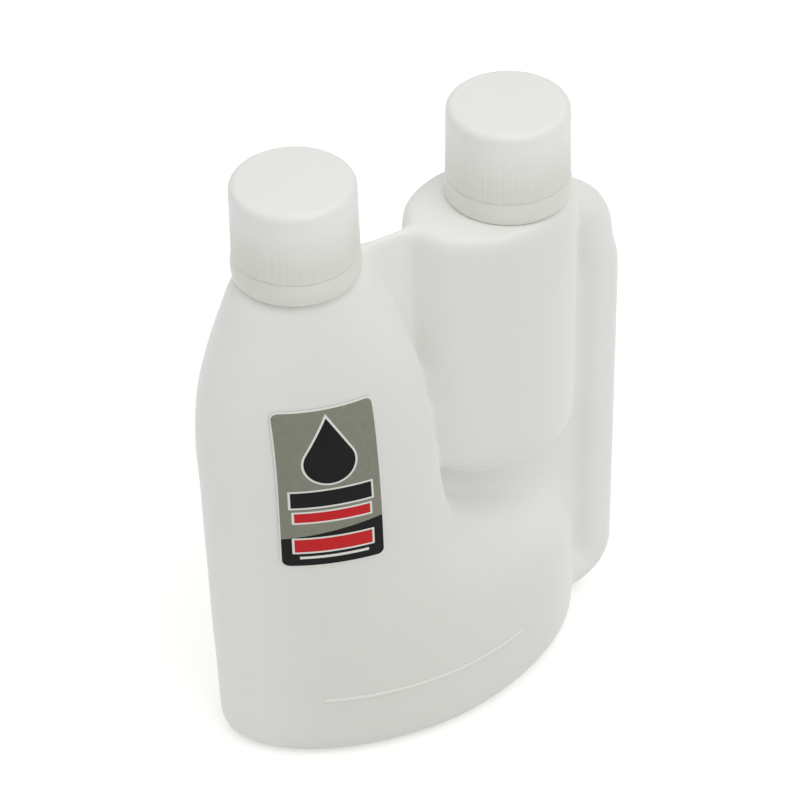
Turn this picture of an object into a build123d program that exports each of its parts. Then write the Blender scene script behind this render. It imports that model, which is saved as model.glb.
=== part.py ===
"""Squeeze-and-dose bottle: pressing the reservoir drives liquid up the feed tube into the chamber.

Units are millimetres. The origin is on the ground below the middle of the whole bottle,
+X runs along the width from the reservoir to the chamber, -Y is the front and +Z is up.
The mould parts on the plane Y = 0.
"""

import os
from math import cos, hypot, pi, sin

from build123d import *

# Moulding
WALL = 1.3
WEB_THICKNESS = 2.6
FIT_GAP = 0.3
OVERRUN = 5.0

# Reservoir
FOOT_X = -6.3
FOOT_HALF_WIDTH = 51.5
FOOT_HALF_DEPTH = 28.9
FOOT_ROUNDING = 4.5
PUSH_UP_DEPTH = 1.8
PUSH_UP_MARGIN = 9.0
PUSH_UP_TAPER = 45
SHOULDER_TOP = 138.4
SECTION_SAMPLES = 6

# Necks and their finish
RESERVOIR_NECK_SHARE = 0.48
DOSING_NECK_SHARE = 0.65
NECK_RADIUS = 12.4
NECK_BORE_RADIUS = 10.7
NECK_RIM_ROUNDING = 0.6
RETAINING_BEAD_HEIGHT = 1.2
RETAINING_BEAD_REACH = 1.1
RETAINING_BEAD_CHAMFER = 0.4

# Dosing chamber
CHAMBER_NECK_OFFSET = 5.0
CHAMBER_HALF_WIDTH = 22.6
CHAMBER_HALF_DEPTH = 17.0
CHAMBER_FLOOR = 63.0
CHAMBER_TOP_ROUNDING = 3.0
CHAMBER_FOOT_ROUNDING = 8.5

# Feed tube
TUBE_STANDOFF = 8.3
TUBE_RADIUS = 5.6
TUBE_FOOT_HEIGHT = 8.0
TUBE_FOOT_BEND = 8.0
TUBE_HEAD_DROP = 8.0
TUBE_HEAD_BEND = 13.4
TUBE_STEP_DROP = 30.0
TUBE_STEP_HEIGHT = 7.0
TUBE_STEP_IN = 2.1
TUBE_STEP_BEND = 8.0

# Pinch web
RIDGE_TOP = 138.0

# Line raised from the front of the foot
RAISED_LINE_OFFSET = -6.0
RAISED_LINE_LENGTH = 56.0
RAISED_LINE_HEIGHT = 20.0
RAISED_LINE_WIDTH = 1.0
RAISED_LINE_RELIEF = 0.5

# Label
LABEL_SHARE = 0.197
LABEL_WIDTH = 23.8
LABEL_FOOT = 65.9
LABEL_HEIGHT = 46.4
LABEL_CORNER = 2.0
LABEL_THICKNESS = 0.3
LABEL_ADHESIVE = 0.15

# Caps, liners and tamper bands
CAP_RADIUS = 15.0
CAP_TOP_RADIUS = 14.7
CAP_WALL = 1.15
CAP_TOP_THICKNESS = 1.6
CAP_HEIGHT = 19.0
CAP_EDGE_ROUNDING = 2.0
CAP_RIB_COUNT = 48
CAP_RIB_RADIUS = 0.4
CAP_RIB_TOP_MARGIN = 5.0
CAP_RIB_FOOT_MARGIN = 0.8
LINER_THICKNESS = 1.0
LINER_MARGIN = 0.4
BAND_RADIUS = 15.4
BAND_WALL = 1.2
BAND_HEIGHT = 5.2
BAND_EDGE_ROUNDING = 0.5
BAND_LIP_HEIGHT = 1.4
BAND_LIP_REACH = 0.9

# Places that follow from the sizes above
RESERVOIR_NECK_X = FOOT_X - RESERVOIR_NECK_SHARE * FOOT_HALF_WIDTH
DOSING_NECK_X = FOOT_X + DOSING_NECK_SHARE * FOOT_HALF_WIDTH
CHAMBER_X = DOSING_NECK_X - CHAMBER_NECK_OFFSET
TUBE_X = max(FOOT_X + FOOT_HALF_WIDTH, CHAMBER_X + CHAMBER_HALF_WIDTH) + TUBE_STANDOFF
TUBE_HEAD_HEIGHT = SHOULDER_TOP - TUBE_HEAD_DROP
TUBE_HEAD_X = TUBE_X - TUBE_STEP_IN
TUBE_STEP_FOOT = SHOULDER_TOP - TUBE_STEP_DROP
BAND_FOOT = SHOULDER_TOP + FIT_GAP
BEAD_FOOT = BAND_FOOT + BAND_LIP_HEIGHT + FIT_GAP
CAP_FOOT = BAND_FOOT + BAND_HEIGHT + FIT_GAP
CAP_UNDERSIDE = CAP_FOOT + CAP_HEIGHT - CAP_TOP_THICKNESS
RIM_HEIGHT = CAP_UNDERSIDE - LINER_THICKNESS - FIT_GAP
CAP_BORE_RADIUS = CAP_RADIUS - CAP_WALL

# Stations of the reservoir from foot to shoulder: height as a share of the shoulder's, left end as a
# share of the way from the neck's axis to the foot's left end, belly and right end as shares of the way
# to its right end, depth as a share of the foot's, and the roundness of the right half.
STATION_SHARES = (
    (0.000, 1.000, 0.324, 1.000, 1.000, 1.81),
    (0.130, 1.004, 0.324, 1.005, 1.010, 1.81),
    (0.245, 1.020, 0.317, 0.990, 1.010, 1.84),
    (0.288, 1.022, 0.304, 0.919, 1.000, 1.88),
    (0.315, 1.023, 0.287, 0.770, 0.987, 1.94),
    (0.345, 1.023, 0.263, 0.611, 0.970, 2.00),
    (0.395, 1.027, 0.233, 0.490, 0.940, 2.10),
    (0.470, 1.034, 0.199, 0.436, 0.905, 2.18),
    (0.580, 1.038, 0.162, 0.412, 0.875, 2.20),
    (0.690, 1.050, 0.121, 0.392, 0.826, 2.20),
    (0.785, 0.997, 0.077, 0.365, 0.759, 2.14),
    (0.865, 0.876, 0.037, 0.321, 0.657, 2.06),
    (0.935, 0.727, 0.010, 0.270, 0.561, 2.00),
    (0.985, 0.591, 0.000, 0.230, 0.490, 2.00),
    (1.000, 0.500, 0.000, 0.202, 0.454, 2.00),
)
LEFT_ROUNDNESS = 1.85
SHELF_STATION = 2
LEFT_REACH = RESERVOIR_NECK_X - (FOOT_X - FOOT_HALF_WIDTH)
RIGHT_REACH = FOOT_X + FOOT_HALF_WIDTH - RESERVOIR_NECK_X
LABEL_X = RESERVOIR_NECK_X - LABEL_SHARE * LEFT_REACH


def wall_run(index, column, reach):
    """Level thickness of a wall of unit thickness at one station, from the slope of the outline."""
    below = STATION_SHARES[max(index - 1, 0)]
    above = STATION_SHARES[min(index + 1, len(STATION_SHARES) - 1)]
    return hypot(1, (above[column] - below[column]) * reach / ((above[0] - below[0]) * SHOULDER_TOP))


def section_points(index, inset):
    """Points round the reservoir at one station, with the wall moved inwards by the inset."""
    _, left, belly, right, depth, roundness = STATION_SHARES[index]
    left_end = LEFT_REACH * left - inset * wall_run(index, 1, LEFT_REACH)
    right_end = RIGHT_REACH * right - inset * wall_run(index, 3, RIGHT_REACH)
    middle = RIGHT_REACH * belly
    half_depth = FOOT_HALF_DEPTH * depth - inset
    points = []
    for step in range(2 * SECTION_SAMPLES):
        angle = step * pi / SECTION_SAMPLES
        on_right = cos(angle) > 0
        power = 2 / (roundness if on_right else LEFT_ROUNDNESS)
        along = abs(cos(angle)) ** power * (right_end - middle if on_right else -left_end - middle)
        across = abs(sin(angle)) ** power * (half_depth if sin(angle) > 0 else -half_depth)
        points.append((RESERVOIR_NECK_X + middle + along, across))
    return points


def reservoir_section(index, inset):
    """One level outline of the reservoir, with the wall moved inwards by the inset."""
    floor = inset + PUSH_UP_DEPTH if inset > 0 else 0
    ceiling = SHOULDER_TOP - max(inset, 0)
    level = STATION_SHARES[index][0] * SHOULDER_TOP
    with BuildSketch(Plane.XY.offset(min(max(level, floor), ceiling))) as section:
        with BuildLine():
            Spline(*section_points(index, inset), periodic=True)
        make_face()
    return section.sketch


def foot_form(inset):
    """The reservoir's foot as a closed form, with its wall moved inwards by the inset."""
    with BuildPart() as form:
        loft([reservoir_section(index, inset) for index in range(SHELF_STATION + 1)])
        fillet(form.edges().group_by(Axis.Z)[0], FOOT_ROUNDING - max(inset, 0))
    return form.part


def tower_form(inset):
    """The reservoir's tower above the foot as a closed form, with its wall moved inwards by the inset."""
    with BuildPart() as form:
        loft([reservoir_section(index, inset) for index in range(SHELF_STATION, len(STATION_SHARES))])
    return form.part


def chamber_form(inset):
    """The dosing chamber as a closed form, with its wall moved inwards by the inset."""
    with BuildPart() as form:
        with BuildSketch(Plane.XY.offset(CHAMBER_FLOOR + inset)):
            with Locations((CHAMBER_X, 0)):
                Ellipse(CHAMBER_HALF_WIDTH - inset, CHAMBER_HALF_DEPTH - inset)
        extrude(amount=SHOULDER_TOP - CHAMBER_FLOOR - 2 * inset)
        fillet(form.edges().group_by(Axis.Z)[-1], CHAMBER_TOP_ROUNDING - inset)
        fillet(form.edges().group_by(Axis.Z)[0], CHAMBER_FOOT_ROUNDING - inset)
    return form.part


def tube_form(inset):
    """The feed tube from the reservoir's foot to the head of the chamber."""
    foot_start = FOOT_X + FOOT_HALF_WIDTH - 2 * OVERRUN
    head_end = CHAMBER_X + CHAMBER_HALF_WIDTH - 2 * OVERRUN
    with BuildPart() as form:
        with BuildLine(Plane.XZ) as path:
            FilletPolyline(
                (foot_start, TUBE_FOOT_HEIGHT),
                (TUBE_X, TUBE_FOOT_HEIGHT),
                (TUBE_X, TUBE_STEP_FOOT),
                (TUBE_HEAD_X, TUBE_STEP_FOOT + TUBE_STEP_HEIGHT),
                (TUBE_HEAD_X, TUBE_HEAD_HEIGHT),
                (head_end, TUBE_HEAD_HEIGHT),
                radius=(TUBE_FOOT_BEND, TUBE_STEP_BEND, TUBE_STEP_BEND, TUBE_HEAD_BEND),
            )
        with BuildSketch(Plane(path.line @ 0, z_dir=path.line % 0)):
            Circle(TUBE_RADIUS - inset)
        sweep()
    return form.part


def bore_form(neck_x):
    """The bore of one neck, from inside the shoulder to past the rim."""
    with BuildPart() as form:
        with BuildSketch(Plane.XY.offset(SHOULDER_TOP - OVERRUN)):
            with Locations((neck_x, 0)):
                Circle(NECK_BORE_RADIUS)
        extrude(amount=RIM_HEIGHT - SHOULDER_TOP + 2 * OVERRUN)
    return form.part


def neck_form(neck_x):
    """One neck, open right through, with the bead that keeps its tamper band on."""
    with BuildPart() as form:
        with BuildSketch(Plane.XY.offset(SHOULDER_TOP)):
            with Locations((neck_x, 0)):
                Circle(NECK_RADIUS)
        extrude(amount=RIM_HEIGHT - SHOULDER_TOP)
        fillet(form.edges().group_by(Axis.Z)[-1], NECK_RIM_ROUNDING)
        with BuildSketch(Plane.XY.offset(BEAD_FOOT)):
            with Locations((neck_x, 0)):
                Circle(NECK_RADIUS + RETAINING_BEAD_REACH)
        extrude(amount=RETAINING_BEAD_HEIGHT)
        chamfer(form.edges().filter_by(GeomType.CIRCLE).sort_by(SortBy.RADIUS)[-2:], RETAINING_BEAD_CHAMFER)
        add(bore_form(neck_x), mode=Mode.SUBTRACT)
    return form.part


def cap_form(neck_x):
    """One screw cap: a drafted skirt with fine grip ribs, open below."""
    with BuildPart() as form:
        with BuildSketch(Plane.XZ) as half:
            with BuildLine():
                Polyline(
                    (0, CAP_FOOT),
                    (CAP_RADIUS, CAP_FOOT),
                    (CAP_TOP_RADIUS, CAP_FOOT + CAP_HEIGHT),
                    (0, CAP_FOOT + CAP_HEIGHT),
                    close=True,
                )
            make_face()
            fillet(half.vertices().sort_by(Axis.X)[-2], CAP_EDGE_ROUNDING)
        revolve(axis=Axis.Z)
        with BuildSketch(Plane.XY.offset(CAP_FOOT + CAP_RIB_FOOT_MARGIN)):
            with PolarLocations(CAP_RADIUS - CAP_RIB_RADIUS, CAP_RIB_COUNT):
                Circle(CAP_RIB_RADIUS)
        extrude(amount=CAP_HEIGHT - CAP_RIB_TOP_MARGIN - CAP_RIB_FOOT_MARGIN)
        with BuildSketch(Plane.XY.offset(CAP_FOOT)):
            Circle(CAP_BORE_RADIUS)
        extrude(amount=CAP_UNDERSIDE - CAP_FOOT, mode=Mode.SUBTRACT)
    return form.part.moved(Location((neck_x, 0, 0)))


def liner_form(neck_x):
    """The sealing wad pressed against the underside of a cap."""
    with BuildPart() as form:
        with BuildSketch(Plane.XY.offset(CAP_UNDERSIDE - LINER_THICKNESS)):
            with Locations((neck_x, 0)):
                Circle(CAP_BORE_RADIUS - LINER_MARGIN)
        extrude(amount=LINER_THICKNESS)
    return form.part


def band_form(neck_x):
    """The tamper band, with a lip that catches below the neck's bead."""
    with BuildPart() as form:
        with BuildSketch(Plane.XY.offset(BAND_FOOT)):
            Circle(BAND_RADIUS)
        extrude(amount=BAND_HEIGHT)
        fillet(form.edges(), BAND_EDGE_ROUNDING)
        with BuildSketch(Plane.XY.offset(BAND_FOOT)):
            Circle(BAND_RADIUS - BAND_WALL - BAND_LIP_REACH)
        extrude(amount=BAND_HEIGHT, mode=Mode.SUBTRACT)
        with BuildSketch(Plane.XY.offset(BAND_FOOT + BAND_LIP_HEIGHT)):
            Circle(BAND_RADIUS - BAND_WALL)
        extrude(amount=BAND_HEIGHT - BAND_LIP_HEIGHT, mode=Mode.SUBTRACT)
    return form.part.moved(Location((neck_x, 0, 0)))


os.makedirs("parts", exist_ok=True)

# Line raised from the front of the foot by the mould
with BuildPart() as raised_line:
    add(foot_form(-RAISED_LINE_RELIEF))
    with BuildSketch(Plane.XZ):
        with Locations((FOOT_X + RAISED_LINE_OFFSET, RAISED_LINE_HEIGHT)):
            SlotOverall(RAISED_LINE_LENGTH, RAISED_LINE_WIDTH)
    extrude(amount=FOOT_HALF_DEPTH + OVERRUN, mode=Mode.INTERSECT)
    add(foot_form(WALL / 2), mode=Mode.SUBTRACT)

# Foot of the reservoir, pushed up below and open to the tower and the feed tube
with BuildPart() as foot:
    add(foot_form(0))
    add(raised_line.part)
    with BuildSketch(Plane.XY):
        with Locations((FOOT_X, 0)):
            Ellipse(FOOT_HALF_WIDTH - PUSH_UP_MARGIN, FOOT_HALF_DEPTH - PUSH_UP_MARGIN)
    extrude(amount=PUSH_UP_DEPTH, taper=PUSH_UP_TAPER, mode=Mode.SUBTRACT)
    add(foot_form(WALL), mode=Mode.SUBTRACT)
    add(tube_form(WALL), mode=Mode.SUBTRACT)

# Tower of the reservoir, open to the foot and its neck
with BuildPart() as tower:
    add(tower_form(0))
    add(tower_form(WALL), mode=Mode.SUBTRACT)
    add(bore_form(RESERVOIR_NECK_X), mode=Mode.SUBTRACT)

# Dosing chamber, open to its neck and the feed tube
with BuildPart() as chamber:
    add(chamber_form(0))
    add(tower_form(0), mode=Mode.SUBTRACT)
    add(chamber_form(WALL), mode=Mode.SUBTRACT)
    add(tube_form(WALL), mode=Mode.SUBTRACT)
    add(bore_form(DOSING_NECK_X), mode=Mode.SUBTRACT)
    split(bisect_by=Plane.XY.offset(SHOULDER_TOP - CHAMBER_TOP_ROUNDING), keep=Keep.BOTH)

# Feed tube up the far side
with BuildPart() as tube:
    add(tube_form(0))
    add(foot_form(0), mode=Mode.SUBTRACT)
    add(chamber_form(0), mode=Mode.SUBTRACT)
    add(tube_form(WALL), mode=Mode.SUBTRACT)

# Web pinched flat by the mould between the hollows
with BuildPart() as web:
    with BuildSketch(Plane.XZ):
        with BuildLine():
            Polyline(
                (RESERVOIR_NECK_X, TUBE_FOOT_HEIGHT),
                (TUBE_X - TUBE_FOOT_BEND, TUBE_FOOT_HEIGHT),
                (TUBE_X, TUBE_FOOT_HEIGHT + TUBE_FOOT_BEND),
                (TUBE_X, TUBE_STEP_FOOT),
                (TUBE_HEAD_X, TUBE_HEAD_HEIGHT - TUBE_HEAD_BEND),
                (TUBE_HEAD_X - TUBE_HEAD_BEND, TUBE_HEAD_HEIGHT),
                (CHAMBER_X, RIDGE_TOP),
                (RESERVOIR_NECK_X, RIDGE_TOP),
                close=True,
            )
        make_face()
    extrude(amount=WEB_THICKNESS / 2, both=True)
    add(foot_form(0), mode=Mode.SUBTRACT)
    add(tower_form(0), mode=Mode.SUBTRACT)
    add(chamber_form(0), mode=Mode.SUBTRACT)
    add(tube_form(0), mode=Mode.SUBTRACT)

# Necks of the reservoir and the chamber
with BuildPart() as necks:
    add(neck_form(RESERVOIR_NECK_X))
    add(neck_form(DOSING_NECK_X))

# Bottle: one moulding, its hollows joined face to face
bottle = Compound([solid for piece in (foot, tower, chamber, tube, web, necks) for solid in piece.part.solids()])

# Label film laid on the front of the reservoir
with BuildPart() as label:
    add(tower_form(-LABEL_ADHESIVE - LABEL_THICKNESS))
    with BuildSketch(Plane.XZ):
        with Locations((LABEL_X, LABEL_FOOT + LABEL_HEIGHT / 2)):
            RectangleRounded(LABEL_WIDTH, LABEL_HEIGHT, LABEL_CORNER)
    extrude(amount=FOOT_HALF_DEPTH + OVERRUN, mode=Mode.INTERSECT)
    add(tower_form(-LABEL_ADHESIVE), mode=Mode.SUBTRACT)

# Caps, liners and bands, alike on both necks
with BuildPart() as reservoir_cap:
    add(cap_form(RESERVOIR_NECK_X))

with BuildPart() as reservoir_cap_liner:
    add(liner_form(RESERVOIR_NECK_X))

with BuildPart() as reservoir_neck_band:
    add(band_form(RESERVOIR_NECK_X))

with BuildPart() as dosing_cap:
    add(cap_form(DOSING_NECK_X))

with BuildPart() as dosing_cap_liner:
    add(liner_form(DOSING_NECK_X))

with BuildPart() as dosing_neck_band:
    add(band_form(DOSING_NECK_X))

bottle.label = "bottle"
export_step(bottle, "parts/bottle.step")

label.part.label = "label"
export_step(label.part, "parts/label.step")

reservoir_cap.part.label = "reservoir_cap"
export_step(reservoir_cap.part, "parts/reservoir_cap.step")

reservoir_cap_liner.part.label = "reservoir_cap_liner"
export_step(reservoir_cap_liner.part, "parts/reservoir_cap_liner.step")

reservoir_neck_band.part.label = "reservoir_neck_band"
export_step(reservoir_neck_band.part, "parts/reservoir_neck_band.step")

dosing_cap.part.label = "dosing_cap"
export_step(dosing_cap.part, "parts/dosing_cap.step")

dosing_cap_liner.part.label = "dosing_cap_liner"
export_step(dosing_cap_liner.part, "parts/dosing_cap_liner.step")

dosing_neck_band.part.label = "dosing_neck_band"
export_step(dosing_neck_band.part, "parts/dosing_neck_band.step")
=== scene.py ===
"""Twin-neck bottle for carrying and measuring oil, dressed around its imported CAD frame.

Lengths are metres in the frame's own axes: +X runs from the reservoir to the dosing chamber,
-Y is the front, +Z is up and the origin is on the ground below the middle of the bottle.
"""

import math

import bmesh
import bpy
import numpy as np
from mathutils import Matrix, Vector


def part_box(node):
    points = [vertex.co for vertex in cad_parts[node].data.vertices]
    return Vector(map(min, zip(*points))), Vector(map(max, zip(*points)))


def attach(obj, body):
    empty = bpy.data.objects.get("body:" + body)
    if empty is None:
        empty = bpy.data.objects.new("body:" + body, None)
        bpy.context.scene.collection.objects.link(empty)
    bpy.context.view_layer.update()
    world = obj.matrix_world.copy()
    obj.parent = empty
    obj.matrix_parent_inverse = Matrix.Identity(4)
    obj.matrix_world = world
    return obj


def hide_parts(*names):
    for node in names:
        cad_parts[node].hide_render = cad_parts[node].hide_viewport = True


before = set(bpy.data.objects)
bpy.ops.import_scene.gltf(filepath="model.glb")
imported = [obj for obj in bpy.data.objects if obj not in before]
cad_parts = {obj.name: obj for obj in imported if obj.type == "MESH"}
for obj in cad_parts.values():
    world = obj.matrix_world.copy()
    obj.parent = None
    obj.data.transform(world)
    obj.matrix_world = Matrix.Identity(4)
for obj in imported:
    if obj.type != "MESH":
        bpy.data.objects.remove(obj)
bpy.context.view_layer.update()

bl_info = {
    "name": "Fuel mixing bottle",
    "version": (1, 0, 0),
    "blender": (4, 5, 0),
    "location": "View3D > Sidebar > Bottle",
    "description": "Builds the blown bottle, its caps, label and studio",
    "category": "Object",
}

MM = 0.001
IMAGE_SIDE = 800
SENSOR_WIDTH = 36.0
NECKS = ("reservoir", "dosing")
ROUND_SEGMENTS = 96
CAP_BOXES = {name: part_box(f"{name}_cap") for name in NECKS}
NECK_X = {name: (low[0] + high[0]) / 2 for name, (low, high) in CAP_BOXES.items()}
RIM_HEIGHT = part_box("bottle")[1][2]

# Stations of the reservoir from foot to shoulder: height as a share of the shoulder's, left end as a
# share of the way from the neck's axis to the foot's left end, belly and right end as shares of the way
# to its right end, depth as a share of the foot's, and the roundness of the right half.
STATION_SHARES = np.array((
    (0.000, 1.000, 0.324, 1.000, 1.000, 1.81),
    (0.130, 1.004, 0.324, 1.005, 1.010, 1.81),
    (0.245, 1.020, 0.317, 0.990, 1.010, 1.84),
    (0.288, 1.022, 0.304, 0.919, 1.000, 1.88),
    (0.315, 1.023, 0.287, 0.770, 0.987, 1.94),
    (0.345, 1.023, 0.263, 0.611, 0.970, 2.00),
    (0.395, 1.027, 0.233, 0.490, 0.940, 2.10),
    (0.470, 1.034, 0.199, 0.436, 0.905, 2.18),
    (0.580, 1.038, 0.162, 0.412, 0.875, 2.20),
    (0.690, 1.050, 0.121, 0.392, 0.826, 2.20),
    (0.785, 0.997, 0.077, 0.365, 0.759, 2.14),
    (0.865, 0.876, 0.037, 0.321, 0.657, 2.06),
    (0.935, 0.727, 0.010, 0.270, 0.561, 2.00),
    (0.985, 0.591, 0.000, 0.230, 0.490, 2.00),
    (1.000, 0.500, 0.000, 0.202, 0.454, 2.00),
))
SHELF_STATION = 2
LEFT_ROUNDNESS = 1.85
# Outside of a tamper band from foot to top: height as a share of the band's, and how far the outline
# is drawn in, as a share of the wall.
BAND_OUTLINE_SHARES = (
    (0.00, 0.34), (0.03, 0.22), (0.10, 0.12), (0.25, 0.04), (0.40, 0.00),
    (0.55, 0.03), (0.75, 0.17), (0.90, 0.31), (1.00, 0.38),
)
# Print on the label in millimetres: the drop, the bare outline round each shape, the bars as side margin,
# bottom, top and ink, and the rule below them.
DROP_HEIGHT, DROP_RADIUS, DROP_TIP = 31.2, 6.0, 12.6
OUTLINE, TIP_OUTLINE = 0.5, 1.2
BARS = ((2.6, 18.6, 23.2, "black"), (3.2, 14.0, 16.8, "red"), (3.0, 4.6, 8.6, "red"))
RULE = (4.0, 2.4, 3.2)

# Edges that turn more than this stay sharp.
SHARP_ANGLE = math.radians(40)
# The studio, in metres.
FLOOR_HALF_WIDTH = 2.0
SOFTBOX_WIDTH = 0.8
SOFTBOX_PLACE = (0.1, -0.52, 0.86)
SOFTBOX_AIM = (0, 0, 0.09)
CAMERA_CLIP = (0.05, 20)
TENT_TINT = (1, 1, 0.99, 1)


def linear(code):
    """A linear colour from an sRGB hex code."""
    shares = [int(code[at:at + 2], 16) / 255 for at in (1, 3, 5)]
    return [share / 12.92 if share <= 0.04045 else ((share + 0.055) / 1.055) ** 2.4 for share in shares]


def number(name, description, value, **options):
    """A plain number that a user may change."""
    return bpy.props.FloatProperty(name=name, description=description, default=value, **options)


def length(name, description, millimetres):
    """A length that a user may change, shown in the scene's units."""
    return number(name, description, millimetres * MM, unit="LENGTH", precision=5)


def turning(name, description, degrees):
    """An angle that a user may change."""
    return number(name, description, math.radians(degrees), subtype="ANGLE")


def count(name, description, whole):
    """A whole number that a user may change."""
    return bpy.props.IntProperty(name=name, description=description, default=whole, min=3)


def colour(name, description, code):
    """A surface colour that a user may change."""
    return bpy.props.FloatVectorProperty(
        name=name, description=description, default=linear(code), subtype="COLOR", size=3, min=0, max=1
    )


class MouldingSizes(bpy.types.PropertyGroup):
    """Sizes of the blown bottle."""

    wall: length("Wall", "Thickness of the blown wall", 1.3)
    web: length("Web", "Thickness where the mould pinches both walls flat", 2.6)
    foot_x: length("Foot middle", "Middle of the foot along the width", -6.3)
    foot_half_width: length("Foot half width", "Half the width of the foot", 51.5)
    foot_half_depth: length("Foot half depth", "Half the depth of the foot", 28.9)
    foot_rounding: length("Foot rounding", "Rounding between the base and the walls", 4.5)
    push_up_depth: length("Push-up depth", "Depth of the hollow below the base", 1.8)
    push_up_margin: length("Push-up margin", "Width of the ring that the bottle stands on", 9.0)
    shoulder_top: length("Shoulder top", "Height of both shoulders", 138.4)
    chamber_neck_offset: length("Chamber offset", "From the chamber's middle to its neck", 5.0)
    chamber_half_width: length("Chamber half width", "Half the width of the dosing chamber", 22.6)
    chamber_half_depth: length("Chamber half depth", "Half the depth of the dosing chamber", 17.0)
    chamber_floor: length("Chamber floor", "Height of the underside of the chamber", 63.0)
    chamber_top_rounding: length("Chamber top rounding", "Rounding of the chamber's shoulder", 3.0)
    chamber_foot_rounding: length("Chamber foot rounding", "Rounding below the chamber", 8.5)
    tube_standoff: length("Tube standoff", "From the foot's end to the middle of the feed tube", 8.3)
    tube_radius: length("Tube radius", "Outer radius of the feed tube", 5.6)
    tube_foot_height: length("Tube foot", "Height at which the tube leaves the foot", 8.0)
    tube_foot_bend: length("Tube foot bend", "Bend radius at the foot of the tube", 8.0)
    tube_head_drop: length("Tube head drop", "From the shoulder down to the tube's head", 8.0)
    tube_head_bend: length("Tube head bend", "Bend radius at the head of the tube", 13.4)
    tube_step_drop: length("Tube step drop", "From the shoulder down to the step in the tube", 31.5)
    tube_step_height: length("Tube step height", "Height over which the tube steps in", 10.0)
    tube_step_in: length("Tube step", "How far the tube steps in below its head", 2.1)
    ridge_drop: length("Ridge drop", "From the shoulder down to the top of the web", 0.4)
    neck_radius: length("Neck radius", "Outer radius of both necks", 12.4)
    neck_bore: length("Neck bore", "Inner radius of both necks", 10.7)
    neck_rim_rounding: length("Rim rounding", "Rounding of the rim", 0.6)
    bead_foot: length("Bead foot", "From the shoulder up to the bead that holds the band", 2.0)
    bead_height: length("Bead height", "Height of the bead that holds the band", 1.2)
    bead_reach: length("Bead reach", "How far that bead stands out", 1.1)
    bead_chamfer: length("Bead chamfer", "Chamfer on that bead", 0.4)
    line_offset: length("Raised line offset", "From the foot's middle to the middle of the raised line", -6.0)
    line_length: length("Raised line length", "Length of the line raised from the foot", 56.0)
    line_height: length("Raised line height", "Height of the raised line above the base", 20.0)
    line_width: length("Raised line width", "Width of the raised line", 1.0)
    line_relief: length("Raised line relief", "How far the line stands out", 0.45)
    voxel: length("Blend step", "Step of the mesh that blends the hollows together", 1.0)
    blend_rounds: count("Blend rounds", "Rounds that soften the creases", 14)
    blend_factor: number("Blend factor", "How far a point moves in each round", 0.5)
    # Painted light and shade: the lighter colour stands for light coming through near the web, the darker one
    # for light lost before the deep hollows.
    colour_painted_glow: colour("Natural colour", "Polyethylene near the web, where light comes through", "#F4F5F2")
    colour_painted_dim: colour("Dense colour", "Polyethylene before the deep hollows", "#E7E8E3")


class ClosureSizes(bpy.types.PropertyGroup):
    """Sizes of the screw threads, caps, bands and liners."""

    thread_lead: length("Thread lead", "Rise of the thread in one turn", 25.4 / 6)
    thread_turns: number("Thread turns", "Turns of thread", 1.7)
    thread_width: length("Thread width", "Width of the thread at its root", 1.5)
    thread_reach: length("Thread reach", "How far the thread stands out", 0.8)
    thread_foot: length("Thread foot", "From the rim down to the first turn on the neck", 10.6)
    skirt_inset: length("Skirt inset", "From the ribs' tips in to the skirt", 0.08)
    skirt_draft: length("Skirt draft", "How much the skirt narrows towards the top", 0.15)
    skirt_wall: length("Skirt wall", "Thickness of the skirt", 1.0)
    top_thickness: length("Top thickness", "Thickness of the cap's top", 1.6)
    edge_rounding: length("Edge rounding", "Rounding of the cap's top edge", 2.0)
    rib_count: count("Ribs", "Grip ribs round each cap", 60)
    rib_radius: length("Rib radius", "Radius of a grip rib at its foot", 0.42)
    rib_tip: length("Rib tip", "Radius of a grip rib at its head", 0.2)
    rib_foot: length("Rib foot", "From the cap's edge up to its ribs", 0.7)
    rib_head: length("Rib head", "From the cap's top down to its ribs", 4.6)
    foot_chamfer: length("Foot chamfer", "Chamfer on the cap's open edge", 0.04)
    witness_turn: turning("Witness turn", "Where the mould's parting line lies round a cap", 215.6)
    witness_height: length("Witness height", "Height of that line on the skirt", 9.0)
    witness_radius: length("Witness radius", "Radius of that line", 0.14)
    band_wall: length("Band wall", "Thickness of the tamper band", 1.2)
    band_rise: length("Band rise", "How far the band's top stands above its solid's", 0.26)
    band_drop: length("Band drop", "How far the band's foot hangs below its solid's", 0.2)
    band_lip: length("Band lip", "How far the band's lip reaches in", 0.9)
    band_lip_height: length("Band lip height", "Height of the band's lip", 1.4)
    colour_cap: colour("Cap colour", "White moulded caps on top", "#F0F1EE")
    # Painted light and shade: the glow colour stands for light entering below the top edge, the shade colour
    # for the neck's shade low on the skirts and bands.
    colour_glow: colour("Glow colour", "Caps below the top edge, where light enters", "#F9FAF7")
    colour_shade: colour("Shade colour", "Caps and bands low down, before the neck", "#E9EAE2")
    colour_liner: colour("Liner colour", "Foamed sealing wad", "#F1F0EA")


class LabelSizes(bpy.types.PropertyGroup):
    """Sizes and inks of the printed label."""

    corner: length("Corner", "Corner radius of the label", 2.0)
    border: length("Border", "Bare film left round the print", 0.3)
    field_split: length("Field split", "Height of the dark field at its middle", 10.6)
    field_slant: number("Field slant", "Rise of the dark field's edge", 0.15)
    colour_film: colour("Film", "Bare white film", "#E9EAE6")
    colour_silver: colour("Silver ink", "Ink of the upper field", "#8C8C80")
    colour_black: colour("Black ink", "Ink of the lower field, the drop and a bar", "#0A0C0B")
    colour_red: colour("Red ink", "Ink of the accents", "#CC2025")


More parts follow.
